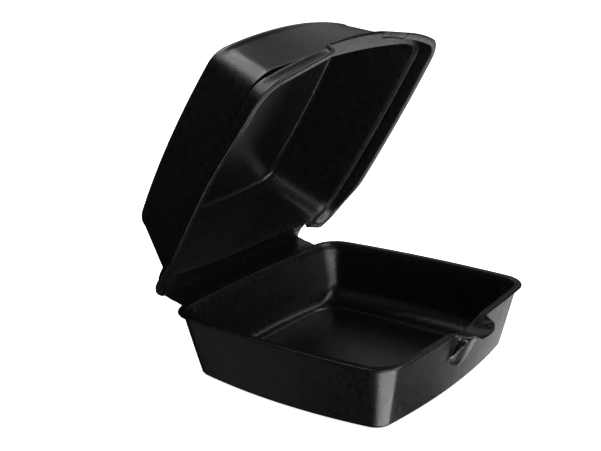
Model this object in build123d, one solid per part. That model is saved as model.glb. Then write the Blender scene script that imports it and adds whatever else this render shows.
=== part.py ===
"""Hinged clamshell food box, thermoformed from one sheet of black polystyrene foam.

The sheet forms a shallow tray and a deeper domed lid, joined along the back by a
crimped strip that folds as a living hinge. The tray and the lid are drawn in the
closed box, and the lid is then turned about the fold to the half-open rest pose.

Frame: +Z up, the fold runs along X at the back (+Y), the latch is at the front (-Y),
and the origin is at the middle of the tray's underside. Millimetres.
"""
import os

from build123d import *

# ---- driving dimensions ----

SHEET = 2.4                 # foam thickness of floor and walls
LIP_THICKNESS = 1.4         # foam is pinched thinner at the rims

RIM_WIDTH = 145.0           # tray rim, between the corners' sharp points
RIM_DEPTH = 133.2
RIM_BOW = 3.4               # how far each side bulges past its corners
RIM_RADIUS = 15.5
RIM_HEIGHT = 36.6           # top of the rim above the table
LIP_WIDTH = 2.5             # lip beyond the tray's wall
FLARE_DEPTH = 4.5           # bevel that leads from the lip down into the wall
FLARE_WIDTH = 1.6

WALL_DRAFT = 9.6            # each wall leans in this much from the rim to the bottom
BOTTOM_BOW = 5.2
BOTTOM_RADIUS = 9.0
BOTTOM_CURVE = 3.2          # rounding between the wall and the bottom
BOTTOM_TIGHTEN = 2.5        # corners get this much sharper across that rounding
FOOT_MARGIN_SIDE = 12.4     # flat floor panel stops this far inside the bottom's sides
FOOT_MARGIN_FRONT = 4.5
FOOT_BOW = 1.4
FOOT_RADIUS = 15.5
FOOT_STEP = 0.8             # floor panel stands this far below the margin round it
SHOULDER = 0.3              # middle outline of a rounding lies this share of the way in and up
SHOULDER_TIGHTEN = 0.4      # and has this share of the corners' sharpening
EDGE_SHARE = 0.95           # last outline of a rounding is moved in by this share of it

LID_GAP = 0.3               # closed lid above the tray's rim
LID_SHEET = 2.2
DOME_HEIGHT = 39.4          # from the ledge's underside to the top of the lid
DOME_DRAFT_SIDE = 14.9      # dome's side walls lean in this much from the tray's rim
DOME_DRAFT_FRONT = 8.9      # and its front and back walls this much
DOME_BOW = 4.8
DOME_FRONT_BOW = 7.8
DOME_SHIFT = 4.6            # top of the dome sits behind the tray's middle
DOME_RADIUS = 14.0
DOME_CURVE = 6.0            # rounding between the walls and the top
DOME_TIGHTEN = 5.0          # corners get this much sharper across that rounding
LEDGE_INSET = 3.0           # lid's inner wall stands this far inside the rim's edge
LEDGE_THICKNESS = 1.8
LEDGE_FRONT_BOW = 5.4       # dome's front wall bulges this much where it starts
LID_OUTSET_SIDE = 7.8       # lid's lip reaches past the corners of the tray's rim
LID_OUTSET_FRONT = 1.2
LID_OUTSET_BACK = 7.8
LID_BOW = 4.8
LID_FRONT_BOW = 16.2        # lid's front edge bulges over the latch
LID_BACK_BOW = 1.0
LID_RADIUS = 19.6
LID_LIP_WIDTH = 4.2
LID_LIP_THICKNESS = 1.2
SKIRT_HEIGHT = 7.3
SKIRT_FLARE = 2.4           # skirt spreads by this much from the ledge to the lip
SKIRT_THICKNESS = 1.8

TAB_HALF_WIDTH = 30.0       # front part of the ledge that has no skirt
DIP_HALF_WIDTH = 18.0       # thumb dip in the tray's front rim
DIP_DEPTH = 3.3
TONGUE_HALF_WIDTH = 14.0    # latch tongue that stands out of the dip
TONGUE_REACH = 7.5
BOSS_HALF_WIDTH = 14.0      # bulge of the front wall under the tongue
BOSS_REACH = 4.5
BOSS_HEIGHT = 17.0
SLIT_LENGTH = 12.5          # slanted slit at each flank of the bulge
SLIT_WIDTH = 1.5
SLIT_ANGLE = 36.0
SLIT_OFFSET = 10.5

HINGE_END_INSET = 12.5      # strip stops this far inside the rim's corners
HINGE_BEHIND = 11.0         # fold line behind the tray's back rim
HINGE_ABOVE = 2.1           # fold line above the tray's rim
HINGE_THICKNESS = 1.1
LID_STRIP_RISE = 0.4        # lid's half of the strip starts this far above the ledge
FOLD_GAP = 0.5              # crease between the two halves of the strip
HINGE_END_CLEARANCE = 5.0   # lid's skirt stops this far from the strip
OPEN_ANGLE = 58.5           # how far the lid stands open at rest
CUT_EXTRA = 1.0             # cutting shapes run past the surface by this much

# ---- values that follow from them ----

half_rim_w = RIM_WIDTH / 2
half_rim_d = RIM_DEPTH / 2
half_bottom_w = half_rim_w - WALL_DRAFT
half_bottom_d = half_rim_d - WALL_DRAFT
half_dome_w = half_rim_w - DOME_DRAFT_SIDE
half_dome_d = half_rim_d - DOME_DRAFT_FRONT
hinge_half = half_rim_w - HINGE_END_INSET
rim_back = half_rim_d + RIM_BOW
ledge_z = RIM_HEIGHT + LID_GAP
ledge_top = ledge_z + LEDGE_THICKNESS
lid_bottom = ledge_z - SKIRT_HEIGHT
fold_y = rim_back + HINGE_BEHIND
fold_z = RIM_HEIGHT + HINGE_ABOVE


def outline(half_w, half_d, radius, z, bow_w, bow_front, bow_back, shift=0.0):
    """Rounded rectangle with bulging sides, as a face at height z."""
    front_left = (-half_w, shift - half_d)
    front_right = (half_w, shift - half_d)
    back_right = (half_w, shift + half_d)
    back_left = (-half_w, shift + half_d)
    sides = [
        ThreePointArc(front_left, (0, shift - half_d - bow_front), front_right),
        ThreePointArc(front_right, (half_w + bow_w, shift), back_right),
        ThreePointArc(back_right, (0, shift + half_d + bow_back), back_left),
        ThreePointArc(back_left, (-half_w - bow_w, shift), front_left),
    ]
    face = make_face(sides)
    face = fillet(face.vertices(), radius)
    return Pos(0, 0, z) * face


def stack(sections):
    """Solid through a list of outlines, straight from each to the next."""
    return loft(sections, ruled=True)


# ---- tray ----

def tray_section(level, inset, z_shift):
    """Outline of the tray's wall at a height, moved in by inset and up by z_shift."""
    wall_top = RIM_HEIGHT - LIP_THICKNESS
    share = (level - BOTTOM_CURVE) / (wall_top - BOTTOM_CURVE)
    half_w = half_bottom_w + share * (half_rim_w - LIP_WIDTH - half_bottom_w)
    half_d = half_bottom_d + share * (half_rim_d - LIP_WIDTH - half_bottom_d)
    bow = BOTTOM_BOW + share * (RIM_BOW - BOTTOM_BOW)
    radius = BOTTOM_RADIUS + share * (RIM_RADIUS - LIP_WIDTH - BOTTOM_RADIUS)
    return outline(half_w - inset, half_d - inset, radius - inset / 2, level + z_shift, bow, bow, bow)


def bottom_section(level, inset, drop):
    """Outline within the curve at the tray's bottom, moved in by inset."""
    return outline(half_bottom_w - inset, half_bottom_d - inset, BOTTOM_RADIUS - drop, level,
                   BOTTOM_BOW, BOTTOM_BOW, BOTTOM_BOW)


def floor_panel(thickness, z, inset=0.0):
    """Flat floor panel with a small step all round."""
    half_w = half_bottom_w - FOOT_MARGIN_SIDE - inset
    half_d = half_bottom_d - FOOT_MARGIN_FRONT - inset
    face = outline(half_w, half_d, FOOT_RADIUS - inset, z, FOOT_BOW, FOOT_BOW, FOOT_BOW)
    return extrude(face, thickness)


def dip_ring():
    """Thin bowl-shaped strip that the rim follows through the thumb dip."""
    radius = (DIP_HALF_WIDTH ** 2 + DIP_DEPTH ** 2) / (2 * DIP_DEPTH)
    centre_z = RIM_HEIGHT - DIP_DEPTH + radius
    along_y = Pos(0, -half_rim_d, centre_z) * Rot(90, 0, 0)
    length = 2 * (half_rim_d - SHEET)
    upper = along_y * Cylinder(radius, length)
    lower = along_y * Cylinder(radius + LIP_THICKNESS, length)
    return upper, lower - upper


def front_box(half_width, low_z, high_z, inner_y):
    """Box that takes in the front of the tray from inner_y outwards."""
    depth = half_rim_d
    height = high_z - low_z
    return Pos(0, inner_y - depth / 2, (low_z + high_z) / 2) * Box(2 * half_width, depth, height)


def boss(half_width, reach, height):
    """Bulge of the front wall under the tongue."""
    centre_z = RIM_HEIGHT - DIP_DEPTH - LIP_THICKNESS
    wall_y = -(half_rim_d - LIP_WIDTH + RIM_BOW)
    ball = scale(Sphere(1.0), by=(half_width, reach + SHEET, height))
    ball = Pos(0, wall_y + SHEET, centre_z) * ball
    return ball & front_box(half_width, centre_z - height, centre_z, wall_y + SHEET)


def slit(side):
    """Slanted lens-shaped slit through the wall at one flank of the bulge."""
    bulge = SLIT_WIDTH / 2
    half = SLIT_LENGTH / 2
    left_side = ThreePointArc((0, -half), (-bulge, 0), (0, half))
    right_side = ThreePointArc((0, half), (bulge, 0), (0, -half))
    lens = make_face([left_side, right_side])
    height = RIM_HEIGHT - DIP_DEPTH - LIP_THICKNESS - SLIT_LENGTH / 2
    through = 4 * SHEET + 2 * LIP_WIDTH
    cut = extrude(lens, through / 2, both=True)
    turned = Rot(90, 0, 0) * Rot(0, 0, side * SLIT_ANGLE) * cut
    return Pos(side * SLIT_OFFSET, -(half_rim_d + RIM_BOW - LIP_WIDTH), height) * turned


def hinge_strip(start_y, start_z, thickness):
    """Half of the folding strip, from a start point to just short of the fold.

    A negative thickness hangs below the line from the start to the fold.
    """
    run = fold_y - start_y
    rise = fold_z - start_z
    share = 1 - FOLD_GAP / 2 / run
    end_y = start_y + share * run
    end_z = start_z + share * rise
    section = Plane.YZ * make_face(Polyline((start_y, start_z), (end_y, end_z),
                                            (end_y, end_z + thickness), (start_y, start_z + thickness),
                                            close=True))
    return extrude(section, hinge_half, both=True)


def make_tray():
    """Tray with its lip, latch tongue and half of the folding strip."""
    wall_top = RIM_HEIGHT - LIP_THICKNESS
    curve = BOTTOM_CURVE - FOOT_STEP
    shoulder_drop = SHOULDER_TIGHTEN * BOTTOM_TIGHTEN
    inner_bottom = FOOT_STEP + SHEET
    outer = stack([
        bottom_section(FOOT_STEP, EDGE_SHARE * curve, BOTTOM_TIGHTEN),
        bottom_section(FOOT_STEP + SHOULDER * curve, SHOULDER * curve, shoulder_drop),
        tray_section(BOTTOM_CURVE, 0, 0),
        tray_section(wall_top, 0, 0),
    ])
    inner = stack([
        bottom_section(inner_bottom, EDGE_SHARE * curve + SHEET, BOTTOM_TIGHTEN + SHEET / 2),
        bottom_section(inner_bottom + SHOULDER * curve, SHOULDER * curve + SHEET, shoulder_drop + SHEET / 2),
        tray_section(BOTTOM_CURVE + SHEET, SHEET, 0),
        tray_section(RIM_HEIGHT - FLARE_DEPTH, SHEET, 0),
        tray_section(wall_top, SHEET - FLARE_WIDTH, 0),
        tray_section(wall_top, SHEET - FLARE_WIDTH, LIP_THICKNESS + LID_GAP),
    ])
    rim = outline(half_rim_w, half_rim_d, RIM_RADIUS, 0, RIM_BOW, RIM_BOW, RIM_BOW)
    upper, ring = dip_ring()
    dip_zone = front_box(DIP_HALF_WIDTH, wall_top - DIP_DEPTH - CUT_EXTRA, RIM_HEIGHT + CUT_EXTRA,
                         -half_rim_d + 2 * SHEET)
    lip = extrude(Pos(0, 0, wall_top) * rim, LIP_THICKNESS) - dip_zone
    tongue = Pos(0, -half_rim_d - RIM_BOW) * Ellipse(TONGUE_HALF_WIDTH, TONGUE_REACH + LIP_WIDTH)
    front_plan = extrude(rim + tongue, RIM_HEIGHT)
    dipped_lip = ring & front_plan & dip_zone
    body = outer + floor_panel(inner_bottom, 0)
    body = body + lip
    body = body - (upper & dip_zone)
    body = body + dipped_lip
    body = body + boss(BOSS_HALF_WIDTH, BOSS_REACH, BOSS_HEIGHT)
    body = body + hinge_strip(half_rim_d - LIP_WIDTH, wall_top, -HINGE_THICKNESS)
    body = body - inner
    body = body - boss(BOSS_HALF_WIDTH - SHEET, BOSS_REACH - SHEET, BOSS_HEIGHT - SHEET)
    body = body - floor_panel(inner_bottom, SHEET, SHEET / 2)
    body = body - slit(1)
    return body - slit(-1)


# ---- lid, drawn closed ----

def dome_section(z, inset):
    """Outline of the dome's wall at a height, moved in by inset."""
    wall_end = ledge_z + DOME_HEIGHT - DOME_CURVE
    share = (z - ledge_z) / (wall_end - ledge_z)
    start_w = half_rim_w - LEDGE_INSET + LID_SHEET
    start_d = half_rim_d - LEDGE_INSET + LID_SHEET
    half_w = start_w + share * (half_dome_w - start_w)
    half_d = start_d + share * (half_dome_d - start_d)
    bow_w = RIM_BOW + share * (DOME_BOW - RIM_BOW)
    bow_front = LEDGE_FRONT_BOW + share * (DOME_FRONT_BOW - LEDGE_FRONT_BOW)
    radius = RIM_RADIUS - LEDGE_INSET + LID_SHEET
    radius = radius + share * (DOME_RADIUS - radius)
    return outline(half_w - inset, half_d - inset, radius - inset / 2, z, bow_w, bow_front, bow_w,
                   share * DOME_SHIFT)


def dome_top_section(z, inset, drop):
    """Outline within the curve at the top of the dome."""
    return outline(half_dome_w - inset, half_dome_d - inset, DOME_RADIUS - drop, z,
                   DOME_BOW, DOME_FRONT_BOW, DOME_BOW, DOME_SHIFT)


def bow_inside(half, bow, inset):
    """Bulge left on a side of the given half length when its arc moves in by inset."""
    radius = (half ** 2 + bow ** 2) / (2 * bow) - inset
    return radius - (radius ** 2 - (half - inset) ** 2) ** 0.5


def lid_edge(z, inset=0.0):
    """Outline of the lid's lip at a height, moved in by inset all round."""
    half_w = half_rim_w + LID_OUTSET_SIDE
    half_d = half_rim_d + (LID_OUTSET_FRONT + LID_OUTSET_BACK) / 2
    shift = (LID_OUTSET_BACK - LID_OUTSET_FRONT) / 2
    bow_w = bow_inside(half_d, LID_BOW, inset)
    bow_front = bow_inside(half_w, LID_FRONT_BOW, inset)
    bow_back = bow_inside(half_w, LID_BACK_BOW, inset)
    front = shift - half_d - LID_FRONT_BOW + inset + bow_front
    back = shift + half_d + LID_BACK_BOW - inset - bow_back
    return outline(half_w + LID_BOW - inset - bow_w, (back - front) / 2, LID_RADIUS - inset, z,
                   bow_w, bow_front, bow_back, (back + front) / 2)


def make_closed_lid():
    """Lid over the closed tray: dome, ledge, skirt, lip and its half of the strip."""
    dome_top = ledge_z + DOME_HEIGHT
    wall_end = dome_top - DOME_CURVE
    inner_top = dome_top - LID_SHEET
    shoulder_in = SHOULDER * DOME_CURVE
    edge_in = EDGE_SHARE * DOME_CURVE
    shoulder_drop = SHOULDER_TIGHTEN * DOME_TIGHTEN
    outer = stack([
        dome_section(ledge_z, 0),
        dome_section(wall_end, 0),
        dome_top_section(dome_top - shoulder_in, shoulder_in, shoulder_drop),
        dome_top_section(dome_top, edge_in, DOME_TIGHTEN),
    ])
    inner = stack([
        dome_section(ledge_z - CUT_EXTRA, LID_SHEET),
        dome_section(wall_end - LID_SHEET, LID_SHEET),
        dome_top_section(inner_top - shoulder_in, shoulder_in + LID_SHEET, shoulder_drop + LID_SHEET / 2),
        dome_top_section(inner_top, edge_in + LID_SHEET, DOME_TIGHTEN + LID_SHEET / 2),
    ])
    skirt_outer = stack([
        lid_edge(lid_bottom, LID_LIP_WIDTH - SKIRT_THICKNESS),
        lid_edge(ledge_top, LID_LIP_WIDTH + SKIRT_FLARE - SKIRT_THICKNESS),
    ])
    skirt_inner = stack([
        lid_edge(lid_bottom - CUT_EXTRA, LID_LIP_WIDTH),
        lid_edge(ledge_z, LID_LIP_WIDTH + SKIRT_FLARE),
    ])
    edge = skirt_outer + extrude(lid_edge(lid_bottom), LID_LIP_THICKNESS)
    reach = fold_y
    behind = Pos(0, half_rim_d - LEDGE_INSET + reach / 2, 0) * Box(
        2 * (hinge_half + HINGE_END_CLEARANCE), reach, 4 * ledge_top)
    below = Pos(0, -half_rim_d - reach / 2 + LEDGE_INSET, ledge_z - RIM_HEIGHT / 2) * Box(
        2 * TAB_HALF_WIDTH, reach, RIM_HEIGHT)
    strip_z = ledge_top - HINGE_THICKNESS + LID_STRIP_RISE
    web = hinge_strip(half_rim_d - LEDGE_INSET, strip_z, HINGE_THICKNESS)
    edge = edge - skirt_inner - behind - below
    return outer + edge + web - inner


def open_lid(lid):
    """Turn the lid about the fold from the closed box to its rest pose."""
    fold = Axis((0, fold_y, fold_z), (-1, 0, 0))
    return lid.rotate(fold, OPEN_ANGLE)


os.makedirs("parts", exist_ok=True)
tray = make_tray()
lid = open_lid(make_closed_lid())
export_step(tray, "parts/tray.step")
export_step(lid, "parts/lid.step")
print("tray volume", round(tray.volume), "lid volume", round(lid.volume))
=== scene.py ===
"""Hinged clamshell food box of black polystyrene foam, shown half open on a pale table.

The tray, the lid, the folding strip between them and their rolled edges are built over
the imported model, which stays the fixed frame. Sizes below are in millimetres; meshes
are in metres.
"""
import math

import bmesh
import bpy
import numpy as np
from mathutils import Matrix, Vector


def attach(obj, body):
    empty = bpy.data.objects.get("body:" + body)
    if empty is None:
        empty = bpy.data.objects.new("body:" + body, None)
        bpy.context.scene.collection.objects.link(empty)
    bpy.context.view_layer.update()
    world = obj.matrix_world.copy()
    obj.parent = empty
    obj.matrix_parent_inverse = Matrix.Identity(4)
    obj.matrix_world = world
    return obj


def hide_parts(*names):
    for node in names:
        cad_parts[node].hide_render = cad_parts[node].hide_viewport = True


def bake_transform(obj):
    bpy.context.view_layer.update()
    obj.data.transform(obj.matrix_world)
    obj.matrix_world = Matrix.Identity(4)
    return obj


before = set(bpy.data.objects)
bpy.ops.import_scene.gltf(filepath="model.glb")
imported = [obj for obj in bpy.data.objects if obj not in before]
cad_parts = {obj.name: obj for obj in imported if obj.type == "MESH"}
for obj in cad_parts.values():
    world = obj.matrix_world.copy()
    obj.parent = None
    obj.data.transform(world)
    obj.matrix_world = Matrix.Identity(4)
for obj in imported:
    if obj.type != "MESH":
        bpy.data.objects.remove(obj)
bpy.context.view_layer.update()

bl_info = {
    "name": "Foam clamshell box",
    "version": (1, 0, 0),
    "blender": (4, 5, 0),
    "location": "View3D > Sidebar > Clamshell",
    "description": "Builds a hinged box of thermoformed black polystyrene foam",
    "category": "Object",
}

MM = 0.001
WELD = 0.000001              # vertices nearer than this are one, in metres
END_RINGS = 6                # rings that fill each flat end of a shell
FOAM_NAME = "Black polystyrene foam, thermoformed skin"

# ---- tray ----
RIM_HALF = (72.5, 66.6)      # lip's edge, from the middle to the corners' sharp points
RIM_BOW = 3.4                # how far each side bulges past its corners
RIM_RADIUS = 15.5
RIM_TOP = 36.6
LIP_OVER = 2.5               # lip past the wall
LIP_THICK = 1.4
BOTTOM_HALF = (62.9, 57.0)
BOTTOM_BOW = 5.2
BOTTOM_RADIUS = 9.0
BOTTOM_CURVE = 2.4
BOTTOM_LIFT = 0.8            # margin round the foot panel stands this far off the table
FOOT_HALF = (50.5, 52.5)
FOOT_BOW = 1.4
FOOT_RADIUS = 15.5
SHEET = 2.4
FLARE_DROP = 4.6             # bevel from the lip's inner edge down to the wall
SWEEP_START = 15.0           # inner wall curves in from this height
SWEEP_END = 3.5              # down to the edge of the floor panel
NECK_CURVE = 0.9             # rounding between the outer wall and the lip's underside

# ---- latch at the front of the tray ----
DIP_HALF = 20.0
DIP_DEPTH = 3.3
TONGUE_HALF = 16.5
TONGUE_REACH = 9.6
BOSS_HALF = 15.0
BOSS_REACH = 3.9
BOSS_TOP = 31.9
BOSS_HEIGHT = 18.0
SLIT_X = 9.2
SLIT_Z = 26.3
SLIT_LENGTH = 13.5
SLIT_WIDTH = 1.3
SLIT_TILT = 40.0
SLIT_RIDGE = 0.6
SLIT_CUT_Y = (-85.0, -55.0)  # the cutter runs from ahead of the wall to behind it
SLIT_STEPS = 12
NUB_X = 9.0                  # small raised spots on the tongue
NUB_Y = -75.8
NUB_SPREAD = 2.0
NUB_RISE = 1.1

# ---- lid, in the closed box ----
LEDGE_UNDER = 37.0
LEDGE_OVER = 38.7
LID_SHEET = 2.2
DOME_START = (71.7, 65.8)
DOME_END = (57.6, 57.7)
DOME_END_Z = 70.3
DOME_TOP = 76.3
DOME_SHIFT = 4.6
# Bulges of the side, front and back, at the ledge and then at the top.
DOME_BOWS = ((3.4, 5.4, 3.4), (4.8, 7.8, 4.8))
DOME_RADII = (14.7, 14.0)
DOME_TIGHTEN = 5.0           # corners get this much sharper across the rounding to the top
LEDGE_CURVE = 1.4            # rounding between the dome and the ledge
CEILING_CURVE = 3.2          # rounding between the inner walls and the ceiling
EDGE_HALF = (80.3, 70.7)
EDGE_SHIFT = 3.3
EDGE_BOWS = (4.8, 16.2, 1.0)
EDGE_RADIUS = 19.6
EDGE_Z = 29.6
LID_LIP_THICK = 1.2
LIP_SAG = 2.3                # thin lip sags this much at one front corner
# Section of the skirt, as (in from the lip's edge, height): over the top, then back underneath.
SKIRT_OVER = ((9.2, 38.5), (7.8, 37.9), (6.5, 37.0), (5.7, 36.2), (5.3, 35.3), (5.0, 34.5),
              (4.4, 33.3), (3.7, 32.1), (3.1, 31.3), (2.5, 30.95), (1.8, 30.8), (1.1, 30.8))
SKIRT_UNDER = ((1.3, 29.6), (2.4, 29.68), (3.4, 29.75), (4.0, 29.95), (4.4, 30.5), (4.9, 31.6),
               (5.7, 33.2), (6.2, 34.7), (6.4, 35.8), (6.6, 36.65), (7.3, 36.97), (10.2, 37.0))
PLATE_INSET = 4.5            # edge of the flat tab, in from the lip's edge
PLATE_BACK = 3.4             # plate is this much wider beside the strip
TAB_HALF = 30.0
NOTCH_HALF = 61.0            # lid's edge stops here on each side of the folding strip

# ---- fold ----
FOLD_Y = 81.0
FOLD_Z = 38.7
OPEN_ANGLE = 58.5
STRIP_HALF = 60.0
STRIP_STEPS = 90             # points along the strip's path
STRIP_PASSES = 6             # times that the path is smoothed
BEND_Y = 78.0                # the strip starts to bend here
BEND_Z = (38.1, 38.6)        # on the tray's side and, in the closed box, on the lid's
BEAD_SIDES = 12

# ---- stage ----
TABLE_HALF = 3.0             # metres
TABLE_DROP = 0.0002          # table lies this far under the foot panel, so that they don't meet
AIM = (0.0, 0.0, 0.06)       # lights stand 1 m from here and face it
# name, azimuth and elevation in degrees, width and height in metres, power in watts
LIGHTS = (
    ("low_front", -98, -52, 1.10, 0.35, 7.0),
    ("front", -106, 6, 1.20, 0.45, 8.5),
    ("back_top", 70, 46, 0.50, 0.40, 1.8),
    ("right", 29, 27, 0.60, 0.40, 0.28),
    ("top_right", -50, 52, 0.90, 0.32, 3.4),
    ("low_right", -3, -30, 0.60, 0.36, 0.75),
    ("low_left", 128, -40, 0.50, 0.30, 0.07),
    ("top", 118, 64, 0.50, 0.50, 2.2),
)
CAMERA_PLACE = (-0.4492, -0.2995, 0.2463)
CAMERA_TURN = (-53.36, 17.52, -1.07)      # azimuth, elevation and roll in degrees
CAMERA_LENS = 64.98
CAMERA_SENSOR = 36.0


# ---- outlines ----

def arc(centre, radius, start, end, shares):
    """Points on an arc at the given shares of its sweep."""
    angles = start + np.asarray(shares) * (end - start)
    return np.stack([centre[0] + radius * np.cos(angles), centre[1] + radius * np.sin(angles)], 1)


def rounded(half, radius, bows, shift=0.0, counts=(150, 44, 120, 44), corner=18):
    """Rounded rectangle whose sides bulge, as points from the front left round by the right.

    bows are the bulges of the sides, the front and the back. Points crowd towards the
    middle of the front, where the latch is.
    """
    half_w, half_d = half
    side, front, back = bows
    corners = [np.array(p, float) for p in (
        (-half_w, shift - half_d), (half_w, shift - half_d),
        (half_w, shift + half_d), (-half_w, shift + half_d))]
    centres, radii, turns = [], [], []
    for i, bow in enumerate((front, side, back, side)):
        a, b = corners[i], corners[(i + 1) % 4]
        chord = np.linalg.norm(b - a)
        big = (chord * chord / 4 + bow * bow) / (2 * bow)
        along = (b - a) / chord
        outward = np.array([along[1], -along[0]])
        centres.append((a + b) / 2 - outward * (big - bow))
        radii.append(big)
    for i in range(4):
        j = (i + 1) % 4
        gap = centres[j] - centres[i]
        far = np.linalg.norm(gap)
        r0, r1 = radii[i] - radius, radii[j] - radius
        foot = (r0 * r0 - r1 * r1 + far * far) / (2 * far)
        rise = math.sqrt(max(r0 * r0 - foot * foot, 0.0))
        unit = gap / far
        normal = np.array([-unit[1], unit[0]])
        pair = [centres[i] + unit * foot + normal * rise * sign for sign in (1, -1)]
        turns.append(min(pair, key=lambda p: np.linalg.norm(p - corners[j])))
    points = []
    for i in range(4):
        j = (i + 1) % 4
        start = turns[i - 1] - centres[i]
        end = turns[i] - centres[i]
        a0, a1 = math.atan2(start[1], start[0]), math.atan2(end[1], end[0])
        a1 += 2 * math.pi * (a1 < a0)
        steps = np.arange(counts[i]) / counts[i]
        if i == 0:
            t = 2 * steps - 1
            steps = (0.38 * t + 0.62 * t ** 3 + 1) / 2
        points.append(arc(centres[i], radii[i], a0, a1, steps))
        start, end = turns[i] - centres[i], turns[i] - centres[j]
        b0, b1 = math.atan2(start[1], start[0]), math.atan2(end[1], end[0])
        b1 += 2 * math.pi * (b1 < b0)
        points.append(arc(turns[i], radius, b0, b1, np.arange(corner) / corner))
    return np.concatenate(points)


def mix(a, b, share):
    """Value between a and b."""
    return a + (b - a) * share


def ring(flat, z):
    """Outline at one height."""
    return np.column_stack([flat, np.full(len(flat), float(z))])


def hill(x, half):
    """Smooth hump, 1 at the middle and 0 beyond half."""
    t = np.clip(np.abs(x) / half, 0, 1)
    return np.cos(t * math.pi / 2) ** 2


def ramp(x, low, high):
    """Smooth step from 0 at low to 1 at high."""
    t = np.clip((x - low) / (high - low), 0, 1)
    return t * t * (3 - 2 * t)


# ---- mesh helpers ----

def close_end(rings, at_start):
    """Adds shrinking rings, so that a flat panel is made of even faces."""
    edge = rings[0] if at_start else rings[-1]
    middle = edge.mean(0)
    extra = [mix(middle, edge, share) for share in np.linspace(1, 0, END_RINGS + 2)[1:-1]]
    return extra[::-1] + rings if at_start else rings + extra


def skin(name, rings, stretch):
    """Closed shell through rings, capped at both ends.

    The run round the rim and each ring's stretch are kept as attributes for the material.
    """
    rings = close_end(close_end(list(rings), True), False)
    stretch = [0.0] * END_RINGS + stretch + [0.0] * END_RINGS
    count = len(rings[0])
    points = np.concatenate(rings + [rings[0].mean(0)[None], rings[-1].mean(0)[None]]) * MM
    faces = []
    for k in range(len(rings) - 1):
        for i in range(count):
            j = (i + 1) % count
            faces.append((k * count + i, k * count + j, (k + 1) * count + j, (k + 1) * count + i))
    low, high = len(points) - 2, len(points) - 1
    last = (len(rings) - 1) * count
    for i in range(count):
        j = (i + 1) % count
        faces.append((low, j, i))
        faces.append((high, last + i, last + j))
    mesh = bpy.data.meshes.new(name)
    mesh.from_pydata([tuple(p) for p in points], [], faces)
    steps = np.linalg.norm(np.diff(rings[len(rings) // 2][:, :2], axis=0), axis=1)
    run = np.concatenate([[0], np.cumsum(steps)])
    values = {"run_round": np.tile(run, len(rings)), "stretch": np.repeat(stretch, count)}
    for key, value in values.items():
        value = np.concatenate([value, [0, 0]]).astype(np.float32)
        mesh.attributes.new(key, "FLOAT", "POINT").data.foreach_set("value", value)
    return mesh


def finish_mesh(mesh, crease=38.0):
    """Welds doubles, clears what a cut leaves behind and keeps only real edges sharp.

    A vertex with only two edges would make a flap of no thickness once its faces are
    triangles, so it is dissolved first. Faces end up pointing outwards.
    """
    work = bmesh.new()
    work.from_mesh(mesh)
    bmesh.ops.remove_doubles(work, verts=work.verts, dist=WELD)
    bmesh.ops.dissolve_degenerate(work, edges=work.edges, dist=WELD)
    spare = [vert for vert in work.verts if len(vert.link_edges) == 2]
    bmesh.ops.dissolve_verts(work, verts=spare)
    cut = [face for face in work.faces if len(face.verts) > 4]
    bmesh.ops.triangulate(work, faces=cut)
    bmesh.ops.recalc_face_normals(work, faces=work.faces)
    for face in work.faces:
        face.smooth = True
    limit = math.radians(crease)
    for edge in work.edges:
        edge.smooth = not (len(edge.link_faces) == 2 and edge.calc_face_angle(0.0) > limit)
    work.to_mesh(mesh)
    work.free()
    mesh.update()


def add_object(name, mesh, material):
    """Object at the origin with one material."""
    piece = bpy.data.objects.new(name, mesh)
    bpy.context.scene.collection.objects.link(piece)
    mesh.materials.clear()
    mesh.materials.append(material)
    return piece


def baked(piece):
    """Replaces the piece's mesh by its evaluated one and drops its modifiers."""
    bpy.context.view_layer.update()
    graph = bpy.context.evaluated_depsgraph_get()
    made = bpy.data.meshes.new_from_object(piece.evaluated_get(graph))
    piece.modifiers.clear()
    if piece.type == "MESH":
        piece.data = made
        return piece
    name = piece.name
    bpy.data.objects.remove(piece)
    piece = bpy.data.objects.new(name, made)
    bpy.context.scene.collection.objects.link(piece)
    return piece


def opened(points):
    """Lid points of the closed box, turned about the fold to the open rest pose."""
    turn = math.radians(OPEN_ANGLE)
    c, s = math.cos(turn), math.sin(turn)
    moved = np.array(points, float)
    y, z = moved[..., 1] - FOLD_Y, moved[..., 2] - FOLD_Z
    moved[..., 1] = FOLD_Y + y * c + z * s
    moved[..., 2] = FOLD_Z - y * s + z * c
    return moved


# ---- materials ----

def linear(hex_colour):
    """sRGB hex to linear RGBA."""
    values = [int(hex_colour[i:i + 2], 16) / 255 for i in (1, 3, 5)]
    return [v / 12.92 if v <= 0.04045 else ((v + 0.055) / 1.055) ** 2.4 for v in values] + [1.0]


def add_node(tree, kind, settings=None, inputs=None, links=()):
    """Adds a node, sets its properties and inputs, and links (socket, source node, source socket)."""
    node = tree.nodes.new(kind)
    for key, value in (settings or {}).items():
        setattr(node, key, value)
    for key, value in (inputs or {}).items():
        node.inputs[key].default_value = value
    for socket, source, output in links:
        tree.links.new(source.outputs[output], node.inputs[socket])
    return node


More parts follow.
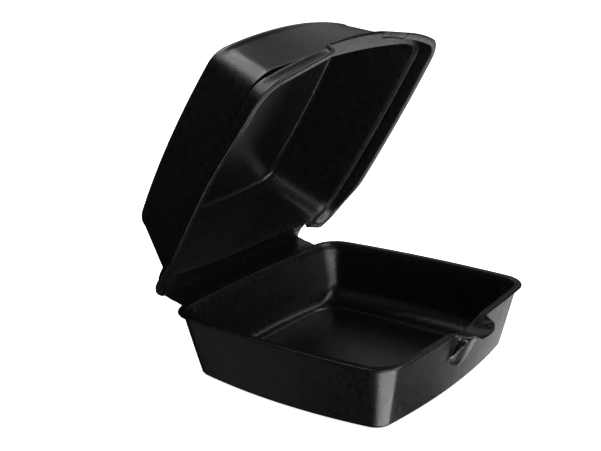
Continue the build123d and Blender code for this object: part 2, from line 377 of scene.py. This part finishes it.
def foam_skin(settings):
    """Thermoformed polystyrene foam: a thin glossy skin over closed cells.

    The skin gives a satin sheen; the cells under it show as fine grain, and where the
    sheet was drawn over the rim it is stretched into short upright lines.
    """
    material = bpy.data.materials.new(FOAM_NAME)
    material.use_nodes = True
    tree = material.node_tree
    tree.nodes.clear()
    place = add_node(tree, "ShaderNodeTexCoord")
    # Foam cells are about 0.3 mm; they are drawn at the set size so that they show.
    cells = add_node(tree, "ShaderNodeTexVoronoi", {"feature": "SMOOTH_F1"},
                     {"Scale": 1 / settings.cell_size, "Smoothness": 0.6, "Randomness": 1.0},
                     [("Vector", place, "Object")])
    # Slow waves of the drawn sheet, about 9 mm long.
    waves = add_node(tree, "ShaderNodeTexNoise", None,
                     {"Scale": 1 / (9 * MM), "Detail": 3.0, "Roughness": 0.5},
                     [("Vector", place, "Object")])
    # Scuffs from stacking, about 2.5 mm across.
    scuffs = add_node(tree, "ShaderNodeTexNoise", None,
                      {"Scale": 1 / (2.5 * MM), "Detail": 6.0, "Roughness": 0.65},
                      [("Vector", place, "Object")])
    run = add_node(tree, "ShaderNodeAttribute", {"attribute_name": "run_round"})
    pulled = add_node(tree, "ShaderNodeAttribute", {"attribute_name": "stretch"})
    # Lines about 1.2 mm apart where the sheet is stretched over the rim.
    lines = add_node(tree, "ShaderNodeTexNoise", {"noise_dimensions": "1D"},
                     {"Scale": 1 / 1.2, "Detail": 2.0}, [("W", run, "Fac")])
    drawn = add_node(tree, "ShaderNodeMath", {"operation": "MULTIPLY"}, None,
                     [(0, lines, "Fac"), (1, pulled, "Fac")])
    cell_bump = add_node(tree, "ShaderNodeBump", None,
                         {"Strength": settings.grain, "Distance": 0.12 * MM},
                         [("Height", cells, "Distance")])
    wave_bump = add_node(tree, "ShaderNodeBump", None, {"Strength": 0.5, "Distance": 0.22 * MM},
                         [("Height", waves, "Fac"), ("Normal", cell_bump, "Normal")])
    line_bump = add_node(tree, "ShaderNodeBump", None, {"Strength": 0.7, "Distance": 0.3 * MM},
                         [("Height", drawn, "Value"), ("Normal", wave_bump, "Normal")])
    tint = add_node(tree, "ShaderNodeValToRGB", None, None, [("Fac", scuffs, "Fac")])
    tint.color_ramp.elements[0].position = 0.35
    tint.color_ramp.elements[0].color = linear(settings.foam_dark)
    tint.color_ramp.elements[1].position = 0.75
    tint.color_ramp.elements[1].color = linear(settings.foam_light)
    gloss = add_node(tree, "ShaderNodeMapRange", None,
                     {"From Min": 0.3, "From Max": 0.7, "To Min": settings.roughness - 0.05,
                      "To Max": settings.roughness + 0.07}, [("Value", scuffs, "Fac")])
    shader = add_node(tree, "ShaderNodeBsdfPrincipled", None,
                      {"IOR": 1.5, "Metallic": 0.0},
                      [("Base Color", tint, "Color"), ("Roughness", gloss, "Result"),
                       ("Normal", line_bump, "Normal")])
    add_node(tree, "ShaderNodeOutputMaterial", None, None, [("Surface", shader, "BSDF")])
    return material


def table_paper(settings):
    """Seamless paper sweep: matt and evenly bright, so that only a faint shadow shows."""
    material = bpy.data.materials.new("White paper sweep, matt")
    material.use_nodes = True
    tree = material.node_tree
    tree.nodes.clear()
    place = add_node(tree, "ShaderNodeTexCoord")
    # Paper fibre, about 3 mm.
    fibre = add_node(tree, "ShaderNodeTexNoise", None, {"Scale": 1 / (3 * MM), "Detail": 4.0},
                     [("Vector", place, "Object")])
    rough = add_node(tree, "ShaderNodeMapRange", None, {"To Min": 0.85, "To Max": 0.95},
                     [("Value", fibre, "Fac")])
    shader = add_node(tree, "ShaderNodeBsdfPrincipled", None,
                      {"Base Color": linear(settings.floor_colour), "IOR": 1.4,
                       "Emission Color": linear("#ffffff"), "Emission Strength": settings.floor_glow},
                      [("Roughness", rough, "Result")])
    add_node(tree, "ShaderNodeOutputMaterial", None, None, [("Surface", shader, "BSDF")])
    return material


# ---- tray ----

def tray_wall(z, inset=0.0):
    """Outline of the tray's outer wall at a height, moved in by inset."""
    share = (z - BOTTOM_LIFT - BOTTOM_CURVE) / (RIM_TOP - LIP_THICK - BOTTOM_LIFT - BOTTOM_CURVE)
    half = [mix(b, r - LIP_OVER, share) - inset for b, r in zip(BOTTOM_HALF, RIM_HALF)]
    bow = mix(BOTTOM_BOW, RIM_BOW, share)
    radius = mix(BOTTOM_RADIUS, RIM_RADIUS - LIP_OVER, share) - 0.6 * inset
    return rounded(half, radius, (bow, bow, bow))


def rim_line(inset):
    """Outline of the tray's rim, moved in by inset."""
    half = [r - inset for r in RIM_HALF]
    return rounded(half, RIM_RADIUS - 0.9 * inset, (RIM_BOW,) * 3)


def foot_line(inset):
    """Outline of the foot panel, moved in by inset."""
    half = [f - inset for f in FOOT_HALF]
    return rounded(half, FOOT_RADIUS - inset, (FOOT_BOW,) * 3)


def bulge(x, z, half, height, reach):
    """How far the front wall stands out under the latch."""
    core = 1 - (x / half) ** 2 - ((BOSS_TOP - z) / height) ** 2
    across, ends = slit_frame(x, z)
    inside = mix(1, 1 - ramp(across, -0.9, 0.5), ends)
    fade = 1 - 0.9 * ramp(z, BOSS_TOP - 0.5, BOSS_TOP + 3)
    return reach * inside * np.clip(core, 0, 1) ** 0.7 * fade


def slit_frame(x, z):
    """How far points lie across the nearer slit, and a share that falls from 1 to 0 past its ends."""
    tilt = math.radians(SLIT_TILT)
    dx, dz = np.abs(x) - SLIT_X, z - SLIT_Z
    along = -dx * math.sin(tilt) + dz * math.cos(tilt)
    across = dx * math.cos(tilt) + dz * math.sin(tilt)
    return across, ramp(SLIT_LENGTH / 2 + 1.5 - np.abs(along), 0, 3)


def slit_ridge(x, z):
    """Height of the pressed lip along the outer side of the two slits."""
    across, ends = slit_frame(x, z)
    return SLIT_RIDGE * np.exp(-((across - 1.0) / 0.8) ** 2) * ends


def latched(points, dip, tongue, wall):
    """Bends one ring of the tray's front into the thumb dip, the tongue and the bulge.

    dip and tongue are shares; wall is 1 on the outer wall, 2 on the inner wall, else 0.
    """
    x, y, z = points.T.copy()
    front = (y < -RIM_HALF[1] * 0.7).astype(float)
    if wall:
        half, height = (BOSS_HALF, BOSS_HEIGHT) if wall == 1 else (BOSS_HALF - 1.5, BOSS_HEIGHT - 1.5)
        y -= front * bulge(x, z, half, height, BOSS_REACH)
        if wall == 1:
            y -= front * slit_ridge(x, z)
        dip = dip * ramp(z, 22, 34)
    z -= front * dip * DIP_DEPTH * hill(x, DIP_HALF) ** 0.9
    tip = np.clip(1 - np.abs(x / TONGUE_HALF) ** 2.4, 0, 1)
    y -= front * tongue * TONGUE_REACH * ramp(tip, 0, 1)
    nub = np.exp(-((np.abs(x) - NUB_X) ** 2 + (y - NUB_Y) ** 2) / NUB_SPREAD ** 2)
    on_top = (tongue > 0.3) * (wall == 0) * (z > RIM_TOP - DIP_DEPTH - 0.9)
    z += front * on_top * NUB_RISE * nub
    return np.column_stack([x, y, z])


def tray_rings():
    """Rings of the tray from the middle of its underside, over the rim, to the middle of its floor."""
    rings, stretch = [], []

    def put(flat, z, dip=0.0, tongue=0.0, wall=0, pull=0.0):
        rings.append(latched(ring(flat, z), dip, tongue, wall))
        stretch.append(pull)

    for inset, z in ((1.2, 0.0), (0.5, 0.0), (0.12, 0.12), (0.0, 0.35), (-0.15, 0.62), (-0.6, 0.8)):
        put(foot_line(inset), z)
    base = BOTTOM_LIFT + BOTTOM_CURVE
    for step in np.linspace(0, 1, 7):
        turn = step * math.pi / 2
        put(tray_wall(base, BOTTOM_CURVE * (1 - math.sin(turn))), base - BOTTOM_CURVE * math.cos(turn))
    wall_top = RIM_TOP - LIP_THICK
    for z in np.linspace(base, wall_top - NECK_CURVE, 34)[1:]:
        put(tray_wall(z), z, dip=1, wall=1)
    for step in (0.35, 0.7, 1.0):
        turn = step * math.pi / 2
        put(tray_wall(wall_top, -NECK_CURVE * (1 - math.cos(turn))),
            wall_top - NECK_CURVE + NECK_CURVE * math.sin(turn), dip=1)
    put(rim_line(1.2), wall_top, 1, 0.72)
    half_lip = LIP_THICK / 2
    for step in np.linspace(-1, 1, 9):
        turn = step * math.pi / 2
        put(rim_line(half_lip * (1 - math.cos(turn))),
            wall_top + half_lip * (1 + math.sin(turn)), 1, 1.0)
    for inset, drop, tongue in ((1.1, 0.16, 0.92), (1.5, 0.32, 0.78), (1.9, 0.38, 0.6),
                                (2.3, 0.34, 0.4), (2.7, 0.18, 0.2), (3.0, 0.06, 0.06),
                                (3.3, 0.05, 0.0), (3.6, 0.22, 0.0), (3.8, 0.55, 0.0)):
        put(rim_line(inset), RIM_TOP - drop, 1, tongue, 0, 0.3)
    flare_end = RIM_TOP - FLARE_DROP
    for share in (0.15, 0.35, 0.55, 0.75, 0.9):
        inset = mix(3.85, LIP_OVER + SHEET, share)
        flat = mix(rim_line(inset), tray_wall(flare_end, SHEET), share)
        put(flat, mix(RIM_TOP - 0.75, flare_end, share), 1 - 0.3 * share, 0, 0, 1.0)
    for k, z in enumerate(np.linspace(flare_end, SWEEP_START, 22)):
        put(tray_wall(z, SHEET), z, dip=1, wall=2, pull=max(0.0, 0.7 - 0.12 * k))
    for step in np.linspace(0, 1, 18)[1:]:
        turn = step * math.pi / 2
        z = mix(SWEEP_START, SWEEP_END, math.sin(turn))
        flat = mix(tray_wall(z, SHEET), foot_line(-0.4), (1 - math.cos(turn)) ** 1.25)
        put(flat, z, dip=1, wall=2)
    for inset, z in ((-0.1, 3.5), (0.15, 3.42), (0.4, 3.15), (0.65, 2.8), (0.95, 2.5),
                     (1.4, 2.4), (2.2, 2.4)):
        put(foot_line(inset), z)
    return rings, stretch


def slit_cutter(side):
    """Lens-shaped block that cuts one slanted slit through the front wall."""
    steps = np.linspace(-1, 1, SLIT_STEPS + 1)
    lens = [(SLIT_WIDTH / 2 * (1 - t * t), SLIT_LENGTH / 2 * t) for t in steps]
    lens += [(-SLIT_WIDTH / 2 * (1 - t * t), SLIT_LENGTH / 2 * t) for t in steps[-2:0:-1]]
    tilt = side * math.radians(SLIT_TILT)
    work = bmesh.new()
    loops = []
    for y in SLIT_CUT_Y:
        loop = []
        for across, along in lens:
            x = across * math.cos(tilt) - along * math.sin(tilt) + side * SLIT_X
            z = across * math.sin(tilt) + along * math.cos(tilt) + SLIT_Z
            loop.append(work.verts.new((x * MM, y * MM, z * MM)))
        loops.append(loop)
    work.faces.new(loops[0])
    work.faces.new(list(reversed(loops[1])))
    total = len(lens)
    for i in range(total):
        j = (i + 1) % total
        work.faces.new((loops[0][i], loops[1][i], loops[1][j], loops[0][j]))
    bmesh.ops.recalc_face_normals(work, faces=work.faces)
    mesh = bpy.data.meshes.new("slit_cutter")
    work.to_mesh(mesh)
    work.free()
    cutter = bpy.data.objects.new("slit_cutter", mesh)
    bpy.context.scene.collection.objects.link(cutter)
    return cutter


# ---- lid ----

def dome_line(z, inset=0.0, tighten=0.0):
    """Outline of the dome's outer wall at a height, moved in by inset."""
    share = (z - LEDGE_UNDER) / (DOME_END_Z - LEDGE_UNDER)
    half = [mix(a, b, share) - inset for a, b in zip(DOME_START, DOME_END)]
    bows = [mix(a, b, share) for a, b in zip(*DOME_BOWS)]
    radius = mix(*DOME_RADII, share) - 0.5 * inset - tighten
    return rounded(half, radius, bows, DOME_SHIFT * share)


def edge_line(inset=0.0):
    """Outline of the lid's lip, moved in by inset all round."""
    half_w, half_d = EDGE_HALF
    bows = []
    for half, bow in zip((half_d, half_w, half_w), EDGE_BOWS):
        radius = (half * half + bow * bow) / (2 * bow) - inset
        bows.append(radius - math.sqrt(radius * radius - (half - inset) ** 2))
    front = EDGE_SHIFT - half_d - EDGE_BOWS[1] + inset + bows[1]
    back = EDGE_SHIFT + half_d + EDGE_BOWS[2] - inset - bows[2]
    return rounded((half_w + EDGE_BOWS[0] - inset - bows[0], (back - front) / 2),
                   EDGE_RADIUS - inset, bows, (back + front) / 2)


def lid_edge(inset, z, plate_inset, plate_z):
    """One ring of the lid's edge: it flattens into a plate at the tab and towards the strip."""
    points, plate = ring(edge_line(inset), z), ring(edge_line(plate_inset), plate_z)
    x, y = np.abs(points[:, 0]), points[:, 1]
    tab = (y < -30) * (1 - ramp(x, TAB_HALF - 6.0, TAB_HALF + 4.0))
    wider = ramp(y, 20, 66)[:, None]
    plate = mix(plate, ring(edge_line(plate_inset - PLATE_BACK), plate_z), wider)
    ends = (y > 30) * np.maximum(0.45 * ramp(y, 34, 64), 1 - ramp(x, NOTCH_HALF, NOTCH_HALF + 17))
    flat = np.maximum(tab, ends)
    depth = (LEDGE_UNDER - z) / (LEDGE_UNDER - EDGE_Z)
    corner = ramp(-points[:, 1], 5, 55) * ramp(-points[:, 0], 10, 60)
    points[:, 2] -= LIP_SAG * max(depth, 0) * corner
    points = mix(points, plate, flat[:, None])
    beside = ramp(np.abs(points[:, 0]), NOTCH_HALF - 0.8, NOTCH_HALF + 0.8)
    back = (points[:, 1] > 40) * (1 - beside)
    wall = ring(dome_line(LEDGE_OVER, -0.4), 0.6 * LEDGE_OVER + 0.4 * LEDGE_UNDER)
    return mix(points, wall, back[:, None])


def lid_rings():
    """Rings of the closed lid from the middle of its top, over the edge, to its ceiling's middle."""
    rings, stretch = [], []

    def put(points, pull=0.0):
        rings.append(points)
        stretch.append(pull)

    curve = DOME_TOP - DOME_END_Z
    put(ring(dome_line(DOME_END_Z, curve + 1.5, DOME_TIGHTEN), DOME_TOP))
    for step in np.linspace(1, 0, 10):
        turn = step * math.pi / 2
        put(ring(dome_line(DOME_END_Z, curve * (1 - math.cos(turn)), DOME_TIGHTEN * step ** 2),
                 DOME_END_Z + curve * math.sin(turn)))
    for z in np.linspace(DOME_END_Z, LEDGE_OVER + LEDGE_CURVE, 16)[1:]:
        put(ring(dome_line(z), z))
    for step in (0.4, 0.75, 1.0):
        turn = step * math.pi / 2
        put(ring(dome_line(LEDGE_OVER, -LEDGE_CURVE * (1 - math.cos(turn))),
                 LEDGE_OVER + LEDGE_CURVE * (1 - math.sin(turn))), 0.4)
    half = LID_LIP_THICK / 2
    turns = np.linspace(math.pi / 2, -math.pi / 2, 9)
    bead = [(half * (1 - math.cos(t)), EDGE_Z + half * (1 + math.sin(t))) for t in turns]
    plate_half = (LEDGE_OVER - LEDGE_UNDER) / 2
    plate_bead = [(PLATE_INSET + plate_half * (1 - math.cos(t)),
                   LEDGE_UNDER + plate_half * (1 + math.sin(t))) for t in turns]
    inner = PLATE_INSET + plate_half
    over = np.linspace(9.4, inner + 0.4, len(SKIRT_OVER))
    under = np.linspace(inner + 0.4, 10.4, len(SKIRT_UNDER))
    for (inset, z), plate in zip(SKIRT_OVER, over):
        put(lid_edge(inset, z, plate, LEDGE_OVER), 0.5)
    for (inset, z), (plate, plate_z) in zip(bead, plate_bead):
        put(lid_edge(inset, z, plate, plate_z))
    for (inset, z), plate in zip(SKIRT_UNDER, under):
        put(lid_edge(inset, z, plate, LEDGE_UNDER), 0.5)
    put(ring(dome_line(LEDGE_UNDER, LID_SHEET - 0.1), LEDGE_UNDER + 0.12))
    put(ring(dome_line(LEDGE_UNDER, LID_SHEET), LEDGE_UNDER + 0.5), 0.6)
    ceiling = DOME_TOP - LID_SHEET
    wall_end = ceiling - CEILING_CURVE
    for k, z in enumerate(np.linspace(LEDGE_UNDER + 1.2, wall_end, 18)):
        put(ring(dome_line(z, LID_SHEET), z), max(0.0, 0.6 - 0.1 * k))
    for step in np.linspace(0, 1, 8)[1:]:
        turn = step * math.pi / 2
        put(ring(dome_line(wall_end, LID_SHEET + CEILING_CURVE * (1 - math.cos(turn)), step),
                 wall_end + CEILING_CURVE * math.sin(turn)))
    put(ring(dome_line(wall_end, LID_SHEET + CEILING_CURVE + 1.5, 1.0), ceiling))
    return rings, stretch


# ---- folding strip ----

def strip_path():
    """Middle of the strip's thickness in the YZ plane, from the tray's lip over the fold to the lid."""
    tray_side = [(67.6, 35.3), (69.4, 35.6), (71.0, 36.1), (72.6, 36.5), (74.2, 36.7),
                 (75.8, 36.9), (77.4, 37.4), (78.8, 37.9), (80.0, 38.1)]
    lid_side = [(80.0, 39.3), (78.8, 39.4), (77.4, 39.6), (75.8, 39.7), (74.2, 39.4),
                (72.6, 39.1), (71.0, 38.9), (69.4, 38.6), (67.6, 38.1)]
    far = opened([(0, y, z) for y, z in lid_side])
    fold = [(80.9, 38.3), (81.35, 38.75), (81.3, 39.3)]
    return np.array(tray_side + fold + [(p[1], p[2]) for p in far])


def sweep_tree(name, radius, material):
    """Geometry node tree: a round profile swept along the object's own curve."""
    radius_name = "Bead radius"
    tree = bpy.data.node_groups.new(name, "GeometryNodeTree")
    tree.interface.new_socket("Geometry", in_out="INPUT", socket_type="NodeSocketGeometry")
    size = tree.interface.new_socket(radius_name, in_out="INPUT", socket_type="NodeSocketFloat")
    size.default_value = radius
    size.subtype = "DISTANCE"
    tree.interface.new_socket("Geometry", in_out="OUTPUT", socket_type="NodeSocketGeometry")
    start = add_node(tree, "NodeGroupInput")
    profile = add_node(tree, "GeometryNodeCurvePrimitiveCircle", None, {"Resolution": BEAD_SIDES},
                       [("Radius", start, radius_name)])
    tube = add_node(tree, "GeometryNodeCurveToMesh", None, {"Fill Caps": True},
                    [("Curve", start, "Geometry"), ("Profile Curve", profile, "Curve")])
    smooth = add_node(tree, "GeometryNodeSetShadeSmooth", None, None, [("Geometry", tube, "Mesh")])
    real = add_node(tree, "GeometryNodeRealizeInstances", None, None, [("Geometry", smooth, "Geometry")])
    paint = add_node(tree, "GeometryNodeSetMaterial", None, {"Material": material},
                     [("Geometry", real, "Geometry")])
    add_node(tree, "NodeGroupOutput", None, None, [("Geometry", paint, "Geometry")])
    return tree, size.identifier


def swept_edge(name, points, closed, radius, material):
    """Rolled edge: a round bead along a line of points, made by the sweep tree."""
    curve = bpy.data.curves.new(name, "CURVE")
    curve.dimensions = "3D"
    line = curve.splines.new("POLY")
    line.points.add(len(points) - 1)
    for spot, co in zip(line.points, points):
        spot.co = (co[0] * MM, co[1] * MM, co[2] * MM, 1.0)
    line.use_cyclic_u = closed
    piece = bpy.data.objects.new(name, curve)
    bpy.context.scene.collection.objects.link(piece)
    tree, key = sweep_tree(name + "_sweep", radius, material)
    bead = piece.modifiers.new("Bead", "NODES")
    bead.node_group = tree
    bead[key] = radius
    piece = baked(piece)
    finish_mesh(piece.data, 60.0)
    return piece


def box():
    """The scene's settings for this add-on."""
    return bpy.context.scene.clamshell


def foam():
    """The foam material, made once."""
    return bpy.data.materials.get(FOAM_NAME) or foam_skin(box())


# ---- settings ----

class ClamshellSettings(bpy.types.PropertyGroup):
    """Sizes and colours of the box that a user would change."""

    foam_dark: bpy.props.StringProperty(
        name="Foam colour", description="Colour of the foam's skin", default="#050506")
    foam_light: bpy.props.StringProperty(
        name="Scuffed foam colour", description="Colour where the skin is rubbed", default="#0e0e0f")
    roughness: bpy.props.FloatProperty(
        name="Skin roughness", description="How matt the foam's skin is", default=0.30,
        min=0.1, max=0.9, subtype="FACTOR")
    grain: bpy.props.FloatProperty(
        name="Cell grain", description="How strongly the foam's cells show through the skin",
        default=0.35, min=0.0, max=1.0, subtype="FACTOR")
    cell_size: bpy.props.FloatProperty(
        name="Cell size", description="Distance between the foam cells that show",
        default=0.7 * MM, min=0.2 * MM, max=3 * MM, unit="LENGTH")
    bead_radius: bpy.props.FloatProperty(
        name="Bead radius", description="Radius of the rolled edge of the tray's lip",
        default=0.72 * MM, min=0.3 * MM, max=1.5 * MM, unit="LENGTH")
    lid_bead_radius: bpy.props.FloatProperty(
        name="Lid bead radius", description="Radius of the rolled edge of the lid's lip",
        default=0.62 * MM, min=0.3 * MM, max=1.5 * MM, unit="LENGTH")
    strip_thickness: bpy.props.FloatProperty(
        name="Strip thickness", description="Thickness of the crimped folding strip",
        default=1.1 * MM, min=0.5 * MM, max=2 * MM, unit="LENGTH")
    floor_colour: bpy.props.StringProperty(
        name="Table colour", description="Colour of the table", default="#f7f7f7")
    floor_glow: bpy.props.FloatProperty(
        name="Table glow", description="How far the table is lifted to even white",
        default=0.75, min=0.0, max=2.0)
    light_power: bpy.props.FloatProperty(
        name="Light power", description="Multiplier of all the studio lights", default=1.0,
        min=0.1, max=5.0)


# ---- operators ----

class CLAMSHELL_OT_tray(bpy.types.Operator):
    """Builds the tray with its latch and rolled lip"""

    bl_idname = "clamshell.tray"
    bl_label = "Build tray"

    def execute(self, context):
        rings, stretch = tray_rings()
        mesh = skin("tray_shell", rings, stretch)
        finish_mesh(mesh)
        shell = add_object("tray_shell", mesh, foam())
        for side in (1, -1):
            cutter = slit_cutter(side)
            cut = shell.modifiers.new("Slit", "BOOLEAN")
            cut.object = cutter
            cut.solver = "EXACT"
            baked(shell)
            bpy.data.objects.remove(cutter)
        finish_mesh(shell.data)
        lip = latched(ring(rim_line(LIP_THICK / 2), RIM_TOP - LIP_THICK / 2), 1, 1.0, 0)
        bead = swept_edge("tray_lip_bead", lip, True, box().bead_radius, foam())
        for piece in (shell, bead):
            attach(piece, "tray_body")
        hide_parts("tray")
        return {"FINISHED"}


class CLAMSHELL_OT_lid(bpy.types.Operator):
    """Builds the domed lid with its skirt, front tab and rolled lip"""

    bl_idname = "clamshell.lid"
    bl_label = "Build lid"

    def execute(self, context):
        rings, stretch = lid_rings()
        mesh = skin("lid_shell", [opened(r) for r in rings], stretch)
        finish_mesh(mesh)
        shell = add_object("lid_shell", mesh, foam())
        half = LID_LIP_THICK / 2
        middle = lid_edge(half, EDGE_Z + half, PLATE_INSET + half, (LEDGE_OVER + LEDGE_UNDER) / 2)
        keep = ~((middle[:, 1] > 40) & (np.abs(middle[:, 0]) < NOTCH_HALF + 1.0))
        first = int(np.argmin(keep))
        middle, keep = np.roll(middle, -first, 0), np.roll(keep, -first)
        bead = swept_edge("lid_lip_bead", opened(middle[keep]), False, box().lid_bead_radius, foam())
        for piece in (shell, bead):
            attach(piece, "lid_body")
        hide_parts("lid")
        return {"FINISHED"}


class CLAMSHELL_OT_strip(bpy.types.Operator):
    """Builds the crimped strip between the tray and the lid, bent to the open pose"""

    bl_idname = "clamshell.strip"
    bl_label = "Build folding strip"

    def execute(self, context):
        path = strip_path()
        fine = np.linspace(0, len(path) - 1, STRIP_STEPS)
        path = np.stack([np.interp(fine, np.arange(len(path)), path[:, k]) for k in (0, 1)], 1)
        for _ in range(STRIP_PASSES):
            path[1:-1] = 0.25 * path[:-2] + 0.5 * path[1:-1] + 0.25 * path[2:]
        tangent = np.gradient(path, axis=0)
        tangent /= np.linalg.norm(tangent, axis=1)[:, None]
        normal = np.stack([tangent[:, 1], -tangent[:, 0]], 1)
        half = box().strip_thickness / MM / 2
        work = bmesh.new()
        loops = []
        spread = -np.cos(np.linspace(0.15, math.pi - 0.15, 46))
        for x in np.concatenate([[-1], spread, [1]]) * STRIP_HALF:
            thin = math.sqrt(max(1 - (abs(x) / (STRIP_HALF + 0.05)) ** 24, 0.02))
            side = [path + normal * half * thin, (path - normal * half * thin)[::-1]]
            loops.append([work.verts.new((x * MM, y * MM, z * MM))
                          for y, z in np.concatenate(side)])
        count = len(loops[0])
        for a, b in zip(loops, loops[1:]):
            for i in range(count):
                j = (i + 1) % count
                work.faces.new((a[i], a[j], b[j], b[i]))
        for loop in (loops[0], loops[-1]):
            for i in range(count // 2 - 1):
                work.faces.new((loop[i], loop[i + 1], loop[count - 2 - i], loop[count - 1 - i]))
        mesh = bpy.data.meshes.new("fold_strip")
        work.to_mesh(mesh)
        work.free()
        finish_mesh(mesh, 50.0)
        strip = add_object("fold_strip", mesh, foam())
        far = Vector(opened([(0, BEND_Y, BEND_Z[1])])[0]) * MM
        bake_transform(strip)
        return {"FINISHED"}


class CLAMSHELL_OT_stage(bpy.types.Operator):
    """Sets the pale table, the soft studio lights and the camera"""

    bl_idname = "clamshell.stage"
    bl_label = "Build stage"

    def execute(self, context):
        scene = context.scene
        mesh = bpy.data.meshes.new("table")
        work = bmesh.new()
        bmesh.ops.create_grid(work, x_segments=8, y_segments=8, size=TABLE_HALF)
        work.to_mesh(mesh)
        work.free()
        table = add_object("table", mesh, table_paper(box()))
        table.location.z = -TABLE_DROP
        table.visible_glossy = False
        table.visible_shadow = False
        world = bpy.data.worlds.new("Even white surround")
        scene.world = world
        world.use_nodes = True
        world.node_tree.nodes["Background"].inputs["Color"].default_value = (1, 1, 1, 1)
        world.node_tree.nodes["Background"].inputs["Strength"].default_value = 1.0
        world.cycles_visibility.glossy = False
        middle = Vector(AIM)
        for name, azimuth, elevation, width, height, power in LIGHTS:
            azimuth, elevation = math.radians(azimuth), math.radians(elevation)
            flat = math.cos(elevation)
            spot = middle + Vector((math.cos(azimuth) * flat, math.sin(azimuth) * flat,
                                    math.sin(elevation)))
            data = bpy.data.lights.new(name, "AREA")
            data.shape = "RECTANGLE"
            data.size, data.size_y = width, height
            data.energy = power * box().light_power
            lamp = bpy.data.objects.new(name, data)
            scene.collection.objects.link(lamp)
            lamp.location = spot
            lamp.rotation_euler = (middle - spot).to_track_quat("-Z", "Y").to_euler()
            lamp.visible_camera = False
        data = bpy.data.cameras.new("camera")
        data.sensor_width = CAMERA_SENSOR
        data.lens = CAMERA_LENS
        data.clip_start, data.clip_end = 0.01, 20.0
        camera = bpy.data.objects.new("camera", data)
        scene.collection.objects.link(camera)
        azimuth, elevation, roll = (math.radians(v) for v in CAMERA_TURN)
        flat = math.cos(elevation)
        back = Vector((math.sin(azimuth) * flat, -math.cos(azimuth) * flat, math.sin(elevation)))
        right = Vector((math.cos(azimuth), math.sin(azimuth), 0))
        up = back.cross(right)
        turned_right = right * math.cos(roll) + up * math.sin(roll)
        turned_up = up * math.cos(roll) - right * math.sin(roll)
        turn = Matrix((turned_right, turned_up, back)).transposed()
        camera.matrix_world = Matrix.Translation(CAMERA_PLACE) @ turn.to_4x4()
        scene.camera = camera
        scene.view_settings.view_transform = "Standard"
        return {"FINISHED"}


class CLAMSHELL_PT_panel(bpy.types.Panel):
    """Lists the box's settings and pieces"""

    bl_idname = "CLAMSHELL_PT_panel"
    bl_label = "Foam clamshell box"
    bl_space_type = "VIEW_3D"
    bl_region_type = "UI"
    bl_category = "Clamshell"

    def draw(self, context):
        for key in ClamshellSettings.__annotations__:
            self.layout.prop(context.scene.clamshell, key)
        for operator in OPERATORS:
            self.layout.operator(operator.bl_idname)


OPERATORS = (CLAMSHELL_OT_tray, CLAMSHELL_OT_lid, CLAMSHELL_OT_strip, CLAMSHELL_OT_stage)
CLASSES = (ClamshellSettings, *OPERATORS, CLAMSHELL_PT_panel)


def register():
    for cls in CLASSES:
        bpy.utils.register_class(cls)
    bpy.types.Scene.clamshell = bpy.props.PointerProperty(type=ClamshellSettings)


def unregister():
    del bpy.types.Scene.clamshell
    for cls in reversed(CLASSES):
        bpy.utils.unregister_class(cls)


def main():
    """Builds everything."""
    register()
    bpy.ops.clamshell.stage()
    bpy.ops.clamshell.tray()
    bpy.ops.clamshell.lid()
    bpy.ops.clamshell.strip()


if __name__ == "__main__":
    main()
